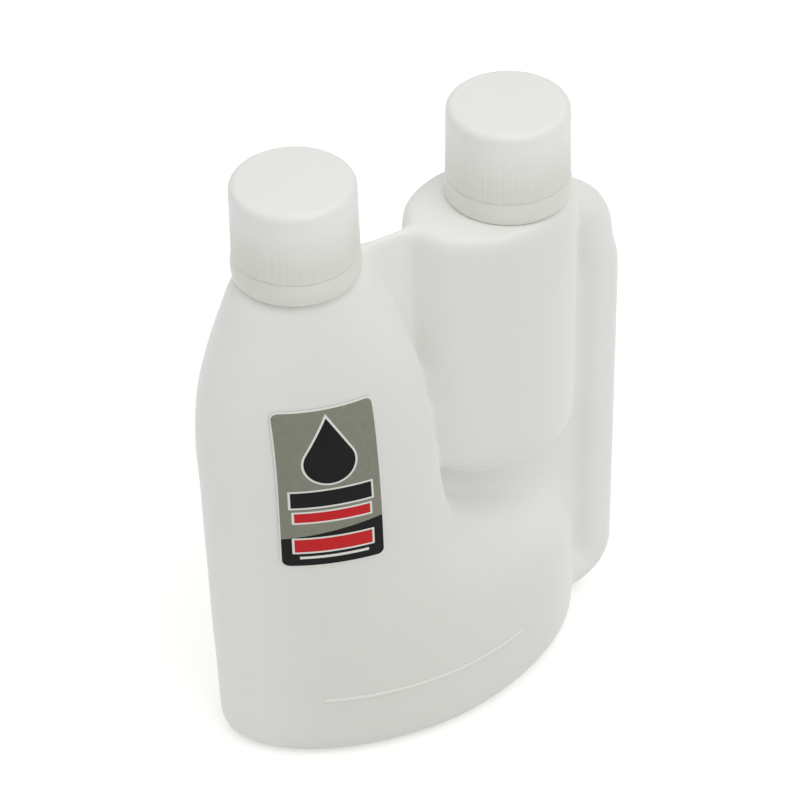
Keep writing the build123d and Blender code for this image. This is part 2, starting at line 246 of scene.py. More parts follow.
class StudioSettings(bpy.types.PropertyGroup):
    """Camera and light."""

    turn: turning("Turn", "Camera's turn to the left", 30.381)
    tilt: turning("Tilt", "Camera's height over the bottle", 39.246)
    roll: turning("Roll", "Camera's lean", -1.402)
    distance: length("Distance", "From the camera to what it looks at", 772.07)
    aim_x: length("Aim across", "Point that the camera looks at, across", -6.3)
    aim_z: length("Aim height", "Point that the camera looks at, above the ground", 75.0)
    slide_right: length("Slide right", "Camera's slide to the right of its aim", 1.876)
    slide_up: length("Slide up", "Camera's slide upwards from its aim", 9.954)
    pixels_per_mm: number("Scale", "Pixels per mm at the aim", 4.03778)
    sky_low: number("Low sky", "Strength of the tent's sides", 0.36)
    sky_high: number("High sky", "Strength of the tent's top", 1.0)
    key_power: number("Key", "Power of the softbox in watts", 1.75)
    floor_lift: number("Floor lift", "Light added to the floor as the camera sees it", 0.4)
    colour_floor: colour("Floor", "Paper floor", "#E7E7E5")


# Meshes


def lofted(name, rings, hoop=False):
    """A closed mesh through rings of as many points each, with flat ends or with its ends joined."""
    work = bmesh.new()
    loops = [[work.verts.new(point) for point in ring] for ring in rings]
    for lower, upper in zip(loops, loops[1:] + (loops[:1] if hoop else [])):
        for index in range(len(lower)):
            after = (index + 1) % len(lower)
            work.faces.new((lower[index], lower[after], upper[after], upper[index]))
    if not hoop:
        work.faces.new(reversed(loops[0]))
        work.faces.new(loops[-1])
    bmesh.ops.recalc_face_normals(work, faces=work.faces)
    mesh = bpy.data.meshes.new(name)
    work.to_mesh(mesh)
    work.free()
    return mesh


def around(sides=ROUND_SEGMENTS):
    """Cosines and sines of evenly spaced turns round a circle."""
    return [(math.cos(turn), math.sin(turn)) for turn in np.linspace(0, 2 * math.pi, sides, endpoint=False)]


def quarter(steps):
    """Cosines and sines of evenly spaced turns over a quarter of a circle."""
    return [(math.cos(turn), math.sin(turn)) for turn in np.linspace(0, math.pi / 2, steps)]


def oval(middle_x, half_width, half_depth, height):
    """A level ring of points round a vertical axis."""
    return [(middle_x + half_width * cos, half_depth * sin, height) for cos, sin in around()]


def rounded(radius, top, rounding, steps):
    """A profile's rounded top edge, from its side to its top."""
    return [(radius - rounding * (1 - cos), top - rounding * (1 - sin)) for cos, sin in quarter(steps)]


def turned(name, middle_x, profile, hoop=False):
    """A closed turning from pairs of radius and height, solid or a hoop."""
    return lofted(name, [oval(middle_x, radius, radius, height) for radius, height in profile], hoop)


def placed(name, mesh):
    """A new object that shows one mesh."""
    thing = bpy.data.objects.new(name, mesh)
    bpy.context.scene.collection.objects.link(thing)
    return thing


def evaluated_mesh(thing, name):
    """The plain mesh of an object with its modifiers worked in, and the object taken away."""
    bpy.context.view_layer.update()
    view = bpy.context.evaluated_depsgraph_get()
    mesh = bpy.data.meshes.new_from_object(thing.evaluated_get(view), depsgraph=view)
    mesh.name = name
    bpy.data.objects.remove(thing)
    return mesh


def combined(mesh, tool, operation):
    """One closed mesh joined to or cut by another."""
    base, other = placed("base", mesh), placed("tool", tool)
    cut = base.modifiers.new(operation.title(), "BOOLEAN")
    cut.operation, cut.solver, cut.object = operation, "MANIFOLD", other
    result = evaluated_mesh(base, mesh.name)
    bpy.data.objects.remove(other)
    if not result.polygons:
        raise RuntimeError(f"{operation} left nothing of {mesh.name}")
    return result


def joined(name, meshes):
    """Several meshes in one."""
    work = bmesh.new()
    for mesh in meshes:
        work.from_mesh(mesh)
    whole = bpy.data.meshes.new(name)
    work.to_mesh(whole)
    work.free()
    return whole


def relaxed(mesh, rounds, factor):
    """Moves every point towards the middle of its neighbours, which rounds the creases between forms."""
    total = len(mesh.vertices)
    places = np.empty(total * 3)
    mesh.vertices.foreach_get("co", places)
    places = places.reshape(-1, 3)
    ends = np.empty(len(mesh.edges) * 2, dtype=np.int64)
    mesh.edges.foreach_get("vertices", ends)
    here, there = ends.reshape(-1, 2).T
    here, there = np.concatenate((here, there)), np.concatenate((there, here))
    degree = np.bincount(here, minlength=total)
    for _ in range(rounds):
        means = np.stack([np.bincount(here, places[there, axis], total) for axis in range(3)], axis=1)
        places = places + factor * (means / degree[:, None] - places)
    mesh.vertices.foreach_set("co", places.ravel())
    mesh.update()


def finished(name, mesh, surface):
    """A finished piece of one material, smooth except at its edges."""
    mesh.name = name
    mesh.materials.clear()
    mesh.materials.append(surface)
    mesh.shade_smooth()
    mesh.set_sharp_from_angle(angle=SHARP_ANGLE)
    return placed(name, mesh)


# The blown bottle's forms


def eased_station(share):
    """Left end, belly, right end, depth and roundness at a share of the shoulder's height."""
    in_foot = share <= STATION_SHARES[SHELF_STATION][0]
    stations = STATION_SHARES[:SHELF_STATION + 1] if in_foot else STATION_SHARES[SHELF_STATION:]
    heights, rows = stations[:, 0], stations[:, 1:]
    at = int(np.clip(np.searchsorted(heights, share) - 1, 0, len(heights) - 2))
    run = heights[at + 1] - heights[at]
    part = (share - heights[at]) / run
    slopes = np.gradient(rows, heights, axis=0) * run
    ease = 3 * part**2 - 2 * part**3
    leave, arrive = part - 2 * part**2 + part**3, part**3 - part**2
    return rows[at] + ease * (rows[at + 1] - rows[at]) + leave * slopes[at] + arrive * slopes[at + 1]


def reservoir_outline(sizes, height, inset):
    """Left end, belly, right end, half depth and right roundness at a height, inset by a wall."""
    share = min(max(height / sizes.shoulder_top, 0), 1)
    left_reach = NECK_X["reservoir"] - (sizes.foot_x - sizes.foot_half_width)
    right_reach = sizes.foot_x + sizes.foot_half_width - NECK_X["reservoir"]
    left, belly, right, depth, roundness = eased_station(share)
    step = 0.01
    before, after = eased_station(max(share - step, 0)), eased_station(min(share + step, 1))
    lean = (after - before) / (2 * step * sizes.shoulder_top)
    return (
        left * left_reach - inset * math.hypot(1, lean[0] * left_reach),
        belly * right_reach,
        right * right_reach - inset * math.hypot(1, lean[2] * right_reach),
        depth * sizes.foot_half_depth - inset,
        roundness,
    )


def reservoir_ring(sizes, height, inset):
    """Points round the reservoir at one height."""
    left, belly, right, depth, roundness = reservoir_outline(sizes, height, inset)
    ring = []
    for along, across in around():
        power = 2 / (roundness if along > 0 else LEFT_ROUNDNESS)
        run = abs(along) ** power * (right - belly if along > 0 else -left - belly)
        out = math.copysign(abs(across) ** power * depth, across)
        ring.append((NECK_X["reservoir"] + belly + run, out, height))
    return ring


def reservoir_front(sizes, x, height, inset):
    """Front surface of the reservoir at a place across and a height."""
    left, belly, right, depth, roundness = reservoir_outline(sizes, height, inset)
    along = x - NECK_X["reservoir"] - belly
    reach, power = (left + belly, LEFT_ROUNDNESS) if along < 0 else (right - belly, roundness)
    share = min(abs(along) / reach, 1)
    return -depth * (1 - share**power) ** (1 / power)


def reservoir_form(sizes, inset):
    """The reservoir as a closed form, its wall moved inwards by the inset."""
    floor = sizes.push_up_depth + inset if inset else 0.0
    ceiling, rounding = sizes.shoulder_top - inset, sizes.foot_rounding - inset
    arc_steps, wall_steps = 8, 90
    rings = [
        reservoir_ring(sizes, floor + rounding * (1 - cos), inset + rounding * (1 - sin))
        for cos, sin in quarter(arc_steps)
    ]
    heights = np.linspace(floor + rounding, ceiling, wall_steps)
    rings += [reservoir_ring(sizes, height, inset) for height in heights[1:]]
    return lofted("reservoir", rings)


def chamber_form(sizes, inset):
    """The dosing chamber as a closed form, its wall moved inwards by the inset."""
    middle = NECK_X["dosing"] - sizes.chamber_neck_offset
    floor, ceiling = sizes.chamber_floor + inset, sizes.shoulder_top - inset
    foot, top = sizes.chamber_foot_rounding - inset, sizes.chamber_top_rounding - inset
    width, depth = sizes.chamber_half_width - inset, sizes.chamber_half_depth - inset
    arc_steps = 10
    levels = [(floor + foot * (1 - cos), foot * (1 - sin)) for cos, sin in quarter(arc_steps)]
    levels += [(ceiling - top * (1 - sin), top * (1 - cos)) for cos, sin in quarter(arc_steps)]
    return lofted("chamber", [oval(middle, width - drawn, depth - drawn, height) for height, drawn in levels])


def tube_x(sizes):
    """Middle of the feed tube along the width."""
    chamber_end = NECK_X["dosing"] - sizes.chamber_neck_offset + sizes.chamber_half_width
    return max(sizes.foot_x + sizes.foot_half_width, chamber_end) + sizes.tube_standoff


def tube_form(sizes, inset):
    """The feed tube from the foot of the reservoir to the head of the chamber."""
    side, foot, head = tube_x(sizes), sizes.tube_foot_height, sizes.shoulder_top - sizes.tube_head_drop
    foot_bend, head_bend = sizes.tube_foot_bend, sizes.tube_head_bend
    step_in, step_height = sizes.tube_step_in, sizes.tube_step_height
    head_side, step_foot = side - step_in, sizes.shoulder_top - sizes.tube_step_drop
    overlap, sides = 10 * MM, 40
    foot_steps, middle_steps, head_steps = 12, 9, 14
    path = [(sizes.foot_x + sizes.foot_half_width - overlap, foot, 0.0)]
    for turn in np.linspace(0, math.pi / 2, foot_steps):
        run, rise = foot_bend * math.sin(turn), foot_bend * (1 - math.cos(turn))
        path.append((side - foot_bend + run, foot + rise, turn))
    for part in np.linspace(0, 1, middle_steps):
        lean = 6 * part * (1 - part) * step_in / step_height
        eased = (3 * part**2 - 2 * part**3) * step_in
        path.append((side - eased, step_foot + part * step_height, math.pi / 2 + math.atan(lean)))
    for turn in np.linspace(0, math.pi / 2, head_steps)[1:]:
        run, rise = head_bend * math.cos(turn), head_bend * math.sin(turn)
        path.append((head_side - head_bend + run, head - head_bend + rise, turn + math.pi / 2))
    chamber_side = NECK_X["dosing"] + sizes.chamber_half_width - sizes.chamber_neck_offset
    path.append((chamber_side - overlap, head, math.pi))
    radius = sizes.tube_radius - inset
    return lofted("tube", [
        [(x - radius * cos * math.sin(turn), radius * sin, z + radius * cos * math.cos(turn))
         for cos, sin in around(sides)]
        for x, z, turn in path
    ])


def web_form(sizes):
    """The web that the mould pinches flat between the hollows."""
    side, foot, head = tube_x(sizes), sizes.tube_foot_height, sizes.shoulder_top - sizes.tube_head_drop
    ridge = sizes.shoulder_top - sizes.ridge_drop
    outline = (
        (NECK_X["reservoir"], foot),
        (side - sizes.tube_foot_bend, foot),
        (side, foot + sizes.tube_foot_bend),
        (side, sizes.shoulder_top - sizes.tube_step_drop),
        (side - sizes.tube_step_in, head - sizes.tube_head_bend),
        (side - sizes.tube_step_in - sizes.tube_head_bend, head),
        (NECK_X["dosing"] - sizes.chamber_neck_offset, ridge),
        (NECK_X["reservoir"], ridge),
    )
    half = sizes.web / 2
    return lofted("web", [[(x, y, z) for x, z in outline] for y in (-half, half)])


def neck_form(sizes, name):
    """One neck without its bore, with the bead that holds the tamper band."""
    radius, rim_steps = sizes.neck_radius, 5
    bead, reach, chamfer = sizes.shoulder_top + sizes.bead_foot, sizes.bead_reach, sizes.bead_chamfer
    profile = [
        (radius, sizes.shoulder_top - sizes.wall),
        (radius, bead),
        (radius + reach - chamfer, bead),
        (radius + reach, bead + chamfer),
        (radius + reach, bead + sizes.bead_height - chamfer),
        (radius + reach - chamfer, bead + sizes.bead_height),
        (radius, bead + sizes.bead_height),
    ]
    profile += rounded(radius, RIM_HEIGHT, sizes.neck_rim_rounding, rim_steps)
    return turned("neck", NECK_X[name], profile)


def raised_line_form(sizes):
    """The line that the mould raises from the front of the foot."""
    half, relief, root = sizes.line_width / 2, sizes.line_relief, 0.6 * MM
    arc_steps, run_steps = 9, 60
    middle, height = sizes.foot_x + sizes.line_offset, sizes.line_height
    arc = np.linspace(0, math.pi, arc_steps)
    section = [(-root, -half)]
    section += [(relief * math.sin(turn), -half * math.cos(turn)) for turn in arc]
    section.append((-root, half))
    return lofted("raised line", [
        [(x, reservoir_front(sizes, x, height + rise, 0) - out, height + rise) for out, rise in section]
        for x in np.linspace(middle - sizes.line_length / 2, middle + sizes.line_length / 2, run_steps)
    ])


def band_form(closure, name):
    """One tamper band: a hoop that swells between its edges, with a lip that catches below the bead."""
    low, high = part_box(f"{name}_neck_band")
    radius, foot, top = (high[0] - low[0]) / 2, low[2] - closure.band_drop, high[2] + closure.band_rise
    bore, lip_top = radius - closure.band_wall, foot + closure.band_lip_height
    lip = bore - closure.band_lip
    profile = [(bore, top), (bore, lip_top), (lip, lip_top), (lip, foot)]
    for rise, drawn in BAND_OUTLINE_SHARES:
        profile.append((radius - drawn * closure.band_wall, foot + rise * (top - foot)))
    return turned(f"{name}_band_ring", NECK_X[name], profile, hoop=True)


def witness_form(closure, middle_x, skirt, foot):
    """The upright line left low on a cap where its mould parts."""
    turn, radius, sides = closure.witness_turn, closure.witness_radius, 10
    x, y = middle_x + skirt * math.cos(turn), skirt * math.sin(turn)
    return lofted("witness line", [
        [(x + radius * cos, y + radius * sin, height) for cos, sin in around(sides)]
        for height in (foot + closure.rib_foot, foot + closure.witness_height)
    ])


# Node trees


def feed(tree, node, inputs):
    """Gives a node's sockets their values or links."""
    for socket, value in inputs.items():
        if isinstance(value, bpy.types.NodeSocket):
            tree.links.new(value, node.inputs[socket])
        else:
            node.inputs[socket].default_value = value


def grow(tree, kind, inputs=None, **settings):
    """Adds one node with its settings, values and links."""
    made = tree.nodes.new(kind)
    for setting, value in settings.items():
        setattr(made, setting, value)
    feed(tree, made, inputs or {})
    return made


def opaque(tone, share=1.0):
    """A colour for a socket, made lighter or darker by a share."""
    return (*[share * part for part in tone], 1)


def new_surface(name):
    """A material with an empty tree, its Principled shader and its Object coordinates."""
    surface = bpy.data.materials.new(name)
    surface.use_nodes = True
    tree = surface.node_tree
    tree.nodes.clear()
    shader = grow(tree, "ShaderNodeBsdfPrincipled")
    grow(tree, "ShaderNodeOutputMaterial", {"Surface": shader.outputs["BSDF"]})
    where = grow(tree, "ShaderNodeTexCoord").outputs["Object"]
    return surface, tree, shader, where


def satin_skin(tree, where, grain_width, detail, roughness, strength, height):
    """Roughness and normal of a skin that copies its grit-blasted mould."""
    # The real grain is too fine to show, so it is drawn coarser.
    grain = grow(tree, "ShaderNodeTexNoise", {"Vector": where, "Scale": 1 / grain_width, "Detail": detail})
    bumps = grain.outputs["Fac"]
    smooth, rough = roughness
    satin = grow(tree, "ShaderNodeMapRange", {"Value": bumps, "To Min": smooth, "To Max": rough})
    skin = grow(tree, "ShaderNodeBump", {"Height": bumps, "Strength": strength, "Distance": height})
    return {"Roughness": satin.outputs["Result"], "Normal": skin.outputs["Normal"]}


def natural_polyethylene(sizes):
    """Natural polyethylene, blown: milky, with painted light near the web and painted shade before deep
    hollows, bright at grazing edges, satin skin.
    """
    surface, tree, shader, where = new_surface("natural_hdpe_blown")
    cloud_width, cloud_share = 22 * MM, 0.2
    shallow, deep = 8 * MM, 24 * MM
    cloud = grow(tree, "ShaderNodeTexNoise", {"Vector": where, "Scale": 1 / cloud_width, "Detail": 2.0})
    # Painted light and shade: lighter close to the mould's parting plane, where light comes through from
    # behind, and darker before a deep hollow, where it is lost.
    across = grow(tree, "ShaderNodeSeparateXYZ", {"Vector": where}).outputs["Y"]
    depth = grow(tree, "ShaderNodeMath", {0: across}, operation="ABSOLUTE")
    lost = grow(
        tree, "ShaderNodeMapRange",
        {"Value": depth.outputs[0], "From Min": shallow, "From Max": deep, "To Max": 1 - cloud_share},
        interpolation_type="SMOOTHSTEP",
    )
    cloud_and_painted_shade = grow(
        tree, "ShaderNodeMath",
        {0: cloud.outputs["Fac"], 1: cloud_share, 2: lost.outputs["Result"]}, operation="MULTIPLY_ADD",
    )
    tint = grow(
        tree, "ShaderNodeMix",
        {"Factor": cloud_and_painted_shade.outputs[0], "A": opaque(sizes.colour_painted_glow), "B": opaque(sizes.colour_painted_dim)},
        data_type="RGBA",
    )
    feed(tree, shader, {
        "Base Color": tint.outputs["Result"],
        **satin_skin(tree, where, 0.55 * MM, 3.0, (0.36, 0.48), 0.12, 0.05 * MM),
        "IOR": 1.54,
        "Subsurface Weight": 0.35,
        "Subsurface Radius": (1.0, 0.98, 0.9),
        "Subsurface Scale": 0.9 * MM,
        "Sheen Weight": 0.8,
        "Sheen Roughness": 0.35,
    })
    return surface


def white_polypropylene(sizes):
    """White polypropylene, moulded: painted light below the top edge, painted shade down towards the neck,
    satin skin.
    """
    surface, tree, shader, where = new_surface("white_pp_moulded")
    flow_width, unevenness = 9 * MM, 0.03
    foot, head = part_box("reservoir_neck_band")[0][2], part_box("reservoir_cap")[1][2]
    height = grow(tree, "ShaderNodeSeparateXYZ", {"Vector": where}).outputs["Z"]
    share = grow(tree, "ShaderNodeMapRange", {"Value": height, "From Min": foot, "From Max": head})
    # Painted light and shade: light that enters at the top edge fades in the skirt, where the neck stands
    # behind it.
    fade = grow(tree, "ShaderNodeValToRGB", {"Fac": share.outputs["Result"]})
    stops = fade.color_ramp.elements
    stops[0].color, stops[1].color = opaque(sizes.colour_shade), opaque(sizes.colour_cap)
    for place, tone in ((0.35, sizes.colour_shade), (0.80, sizes.colour_glow), (0.92, sizes.colour_glow)):
        stops.new(place).color = opaque(tone)
    flow = grow(tree, "ShaderNodeTexNoise", {"Vector": where, "Scale": 1 / flow_width, "Detail": 2.0})
    even = grow(tree, "ShaderNodeMapRange", {"Value": flow.outputs["Fac"], "To Min": 1 - unevenness})
    tint = grow(
        tree, "ShaderNodeVectorMath",
        {0: fade.outputs["Color"], "Scale": even.outputs["Result"]}, operation="SCALE",
    )
    feed(tree, shader, {
        "Base Color": tint.outputs["Vector"],
        **satin_skin(tree, where, 0.4 * MM, 2.0, (0.32, 0.42), 0.08, 0.04 * MM),
        "IOR": 1.49,
        "Subsurface Weight": 0.35,
        "Subsurface Radius": (1.0, 0.98, 0.92),
        "Subsurface Scale": 0.8 * MM,
        "Sheen Weight": 1.0,
        "Sheen Roughness": 0.3,
    })
    return surface


def foamed_wad(sizes):
    """Foamed polyethylene wad: soft, matt, with fine cells."""
    surface, tree, shader, where = new_surface("foamed_pe_wad")
    cell_width, cell_shade = 0.5 * MM, 0.9
    cells = grow(tree, "ShaderNodeTexVoronoi", {"Vector": where, "Scale": 1 / cell_width}).outputs["Distance"]
    tint = grow(
        tree, "ShaderNodeMix",
        {"Factor": cells, "A": opaque(sizes.colour_liner), "B": opaque(sizes.colour_liner, cell_shade)},
        data_type="RGBA",
    )
    pits = grow(tree, "ShaderNodeBump", {"Height": cells, "Strength": 0.3, "Distance": 0.1 * MM})
    feed(tree, shader, {
        "Base Color": tint.outputs["Result"], "Normal": pits.outputs["Normal"], "Roughness": 0.75,
    })
    return surface


def printed_film(sizes, width, height):
    """Gloss polyester film with flat printed inks: a silver field over a dark one, a drop and plain bars."""
    surface, tree, shader, _ = new_surface("printed_label_film")
    wide, tall, edge = width / MM, height / MM, sizes.border / MM
    middle, origin = wide / 2, (0, 0, 0)
    # The print is laid out in millimetres, so its patterns' widths are in millimetres too.
    streak_width, wave_width = 5 / 3, 4.0
    pale, deep = 1.12, 0.84
    flat = grow(tree, "ShaderNodeUVMap", uv_map="print").outputs["UV"]
    spot = grow(tree, "ShaderNodeMapping", {"Vector": flat, "Scale": (wide, tall, 1)}).outputs["Vector"]
    inks = {name: opaque(getattr(sizes, f"colour_{name}")) for name in ("film", "black", "red")}

    def block(left, bottom, right, top, rounding=0.05):
        """Where the print lies within a rectangle with rounded corners, in millimetres."""
        centre = ((left + right) / 2, (bottom + top) / 2, 0)
        reach = ((right - left) / 2 - rounding, (top - bottom) / 2 - rounding, 0)
        past = spot
        for operation, other in (
            ("SUBTRACT", centre), ("ABSOLUTE", origin), ("SUBTRACT", reach), ("MAXIMUM", origin)
        ):
            past = grow(tree, "ShaderNodeVectorMath", {0: past, 1: other}, operation=operation).outputs[0]
        span = grow(tree, "ShaderNodeVectorMath", {0: past}, operation="LENGTH")
        inside = grow(tree, "ShaderNodeMath", {0: span.outputs["Value"], 1: rounding}, operation="LESS_THAN")
        return inside.outputs[0]

    def drop(radius, tip):
        """Where the print lies within a drop: a round with two straight sides that meet at its tip."""
        lean = math.asin(radius / tip)
        off = grow(tree, "ShaderNodeVectorMath", {0: spot, 1: (middle, DROP_HEIGHT, 0)}, operation="SUBTRACT")
        away = grow(tree, "ShaderNodeSeparateXYZ", {"Vector": off.outputs[0]}).outputs
        side = grow(tree, "ShaderNodeMath", {0: away["X"]}, operation="ABSOLUTE")
        lift = grow(tree, "ShaderNodeMath", {0: away["Y"], 1: math.sin(lean)}, operation="MULTIPLY")
        reach = grow(
            tree, "ShaderNodeMath",
            {0: side.outputs[0], 1: math.cos(lean), 2: lift.outputs[0]}, operation="MULTIPLY_ADD",
        )
        below = grow(tree, "ShaderNodeMath", {0: reach.outputs[0], 1: radius}, operation="LESS_THAN")
        foot = radius * math.sin(lean)
        above = grow(tree, "ShaderNodeMath", {0: away["Y"], 1: foot}, operation="GREATER_THAN")
        cone = grow(tree, "ShaderNodeMath", {0: below.outputs[0], 1: above.outputs[0]}, operation="MULTIPLY")
        span = grow(tree, "ShaderNodeVectorMath", {0: off.outputs[0]}, operation="LENGTH")
        ball = grow(tree, "ShaderNodeMath", {0: span.outputs["Value"], 1: radius}, operation="LESS_THAN")
        whole = grow(tree, "ShaderNodeMath", {0: cone.outputs[0], 1: ball.outputs[0]}, operation="MAXIMUM")
        return whole.outputs[0]

    # The silver field is a fine metallic ink, so it is a little uneven along the web of the press.
    streak = grow(tree, "ShaderNodeTexNoise", {"Vector": spot, "Scale": 1 / streak_width, "Detail": 4.0})
    silver = grow(
        tree, "ShaderNodeMix",
        {"Factor": streak.outputs["Fac"], "A": opaque(sizes.colour_silver, deep),
         "B": opaque(sizes.colour_silver, pale)},
        data_type="RGBA",
    )
    field = block(edge, edge, wide - edge, tall - edge, sizes.corner / MM - edge)
    place = grow(tree, "ShaderNodeSeparateXYZ", {"Vector": spot}).outputs
    slant = sizes.field_slant
    level = grow(
        tree, "ShaderNodeMath", {0: place["X"], 1: -slant, 2: place["Y"]}, operation="MULTIPLY_ADD"
    )
    split = sizes.field_split / MM - slant * middle
    low = grow(tree, "ShaderNodeMath", {0: level.outputs[0], 1: split}, operation="LESS_THAN")
    dark = grow(tree, "ShaderNodeMath", {0: field, 1: low.outputs[0]}, operation="MULTIPLY")
    layers = [
        (field, silver.outputs["Result"]),
        (dark.outputs[0], inks["black"]),
        (drop(DROP_RADIUS + OUTLINE, DROP_TIP + TIP_OUTLINE), inks["film"]),
        (drop(DROP_RADIUS, DROP_TIP), inks["black"]),
    ]
    for margin, bottom, top, tone in BARS:
        out, right = margin - OUTLINE, wide - margin
        layers.append((block(out, bottom - OUTLINE, right + OUTLINE, top + OUTLINE), inks["film"]))
        layers.append((block(margin, bottom, right, top), inks[tone]))
    margin, bottom, top = RULE
    layers.append((block(margin, bottom, wide - margin, top), inks["film"]))
    ink = inks["film"]
    for mask, tone in layers:
        laid = grow(tree, "ShaderNodeMix", {"Factor": mask, "A": ink, "B": tone}, data_type="RGBA")
        ink = laid.outputs["Result"]
    wave = grow(tree, "ShaderNodeTexNoise", {"Vector": spot, "Scale": 1 / wave_width, "Detail": 1.0})
    gloss = grow(tree, "ShaderNodeMapRange", {"Value": wave.outputs["Fac"], "To Min": 0.24, "To Max": 0.34})
    feed(tree, shader, {
        "Base Color": ink, "Roughness": gloss.outputs["Result"], "IOR": 1.5, "Specular IOR Level": 0.15,
    })
    return surface


def new_maker(name, inputs, output):
    """A geometry tree with its sockets but no nodes between them, and the values that it is given."""
    tree = bpy.data.node_groups.new(name, "GeometryNodeTree")
    for socket, kind in inputs.items():
        tree.interface.new_socket(socket, in_out="INPUT", socket_type=f"NodeSocket{kind}")
    tree.interface.new_socket(output, in_out="OUTPUT", socket_type="NodeSocketGeometry")
    return tree, grow(tree, "NodeGroupInput").outputs


def finish_maker(tree, geometry, material):
    """Ends a geometry tree: instances made real, then faced with a material."""
    real = grow(tree, "GeometryNodeRealizeInstances", {"Geometry": geometry})
    faced = grow(
        tree, "GeometryNodeSetMaterial", {"Geometry": real.outputs["Geometry"], "Material": material}
    )
    grow(tree, "NodeGroupOutput", {0: faced.outputs["Geometry"]})
    return tree


def thread_tree():
    """Geometry nodes for one thread: a ridge along a helix that runs out at both ends."""
    lengths = dict.fromkeys(("Turns", "Lead", "Radius", "Foot", "Middle", "Width", "Reach"), "Float")
    tree, given = new_maker("screw thread", {**lengths, "Material": "Material"}, "Thread")
    turn_steps, section_sides = 72, 8
    runout_share, end_share = 0.06, 0.25
    rise = grow(tree, "ShaderNodeMath", {0: given["Turns"], 1: given["Lead"]}, operation="MULTIPLY")
    helix = grow(
        tree, "GeometryNodeCurveSpiral",
        {"Resolution": turn_steps, "Rotations": given["Turns"], "Start Radius": given["Radius"],
         "End Radius": given["Radius"], "Height": rise.outputs[0]},
    )
    lift = grow(tree, "ShaderNodeCombineXYZ", {"X": given["Middle"], "Z": given["Foot"]})
    at_neck = grow(
        tree, "GeometryNodeTransform", {"Geometry": helix.outputs["Curve"], "Translation": lift.outputs[0]}
    )
    along = grow(tree, "GeometryNodeSplineParameter").outputs["Factor"]
    centred = grow(tree, "ShaderNodeMath", {0: along, 1: 0.5}, operation="SUBTRACT")
    from_middle = grow(tree, "ShaderNodeMath", {0: centred.outputs[0]}, operation="ABSOLUTE")
    runout = grow(
        tree, "ShaderNodeMapRange",
        {"Value": from_middle.outputs[0], "From Min": 0.5, "From Max": 0.5 - runout_share,
         "To Min": end_share, "To Max": 1.0},
    )
    upright = grow(tree, "GeometryNodeSetCurveNormal", {"Curve": at_neck.outputs["Geometry"]}, mode="Z_UP")
    section = grow(
        tree, "GeometryNodeCurvePrimitiveCircle", {"Resolution": section_sides, "Radius": 1.0}, mode="RADIUS"
    )
    spread = grow(tree, "ShaderNodeCombineXYZ", {"X": given["Reach"], "Y": given["Width"], "Z": 1.0})
    shaped = grow(
        tree, "GeometryNodeTransform", {"Geometry": section.outputs["Curve"], "Scale": spread.outputs[0]}
    )
    ridge = grow(
        tree, "GeometryNodeCurveToMesh",
        {"Curve": upright.outputs["Curve"], "Profile Curve": shaped.outputs["Geometry"], "Fill Caps": True,
         "Scale": runout.outputs["Result"]},
    )
    return finish_maker(tree, ridge.outputs["Mesh"], given["Material"])


def rib_tree():
    """Geometry nodes for a ring of tapered grip ribs round a cap."""
    lengths = dict.fromkeys(("Ring Radius", "Middle", "Foot", "Height", "Rib Radius", "Rib Tip"), "Float")
    tree, given = new_maker("grip ribs", {"Count": "Int", **lengths, "Material": "Material"}, "Ribs")
    rib_sides = 10
    ring = grow(tree, "GeometryNodeMeshCircle", {"Vertices": given["Count"], "Radius": given["Ring Radius"]})
    place = grow(tree, "ShaderNodeCombineXYZ", {"X": given["Middle"], "Z": given["Foot"]})
    round_cap = grow(
        tree, "GeometryNodeTransform", {"Geometry": ring.outputs["Mesh"], "Translation": place.outputs[0]}
    )
    rib = grow(
        tree, "GeometryNodeMeshCone",
        {"Vertices": rib_sides, "Radius Top": given["Rib Tip"], "Radius Bottom": given["Rib Radius"],
         "Depth": given["Height"]},
    )
    ribs = grow(
        tree, "GeometryNodeInstanceOnPoints",
        {"Points": round_cap.outputs["Geometry"], "Instance": rib.outputs["Mesh"]},
    )
    return finish_maker(tree, ribs.outputs["Instances"], given["Material"])


def grown_mesh(name, tree, values):
    """The plain mesh that a node tree makes from the given inputs."""
    thing = placed(name, bpy.data.meshes.new("start"))
    maker = thing.modifiers.new(tree.name, "NODES")
    maker.node_group = tree
    sockets = {item.name: item.identifier for item in tree.interface.items_tree if item.in_out == "INPUT"}
    for socket, value in values.items():
        maker[sockets[socket]] = value
    return evaluated_mesh(thing, name)


def thread_mesh(name, middle, closure, radius, foot, material, tree):
    """A short thread round a neck, or inside its cap."""
    return grown_mesh(name, tree, {
        "Turns": closure.thread_turns,
        "Lead": closure.thread_lead,
        "Radius": radius,
        "Foot": foot,
        "Middle": middle,
        "Width": closure.thread_width / 2,
        "Reach": closure.thread_reach,
        "Material": material,
    })


# Operators


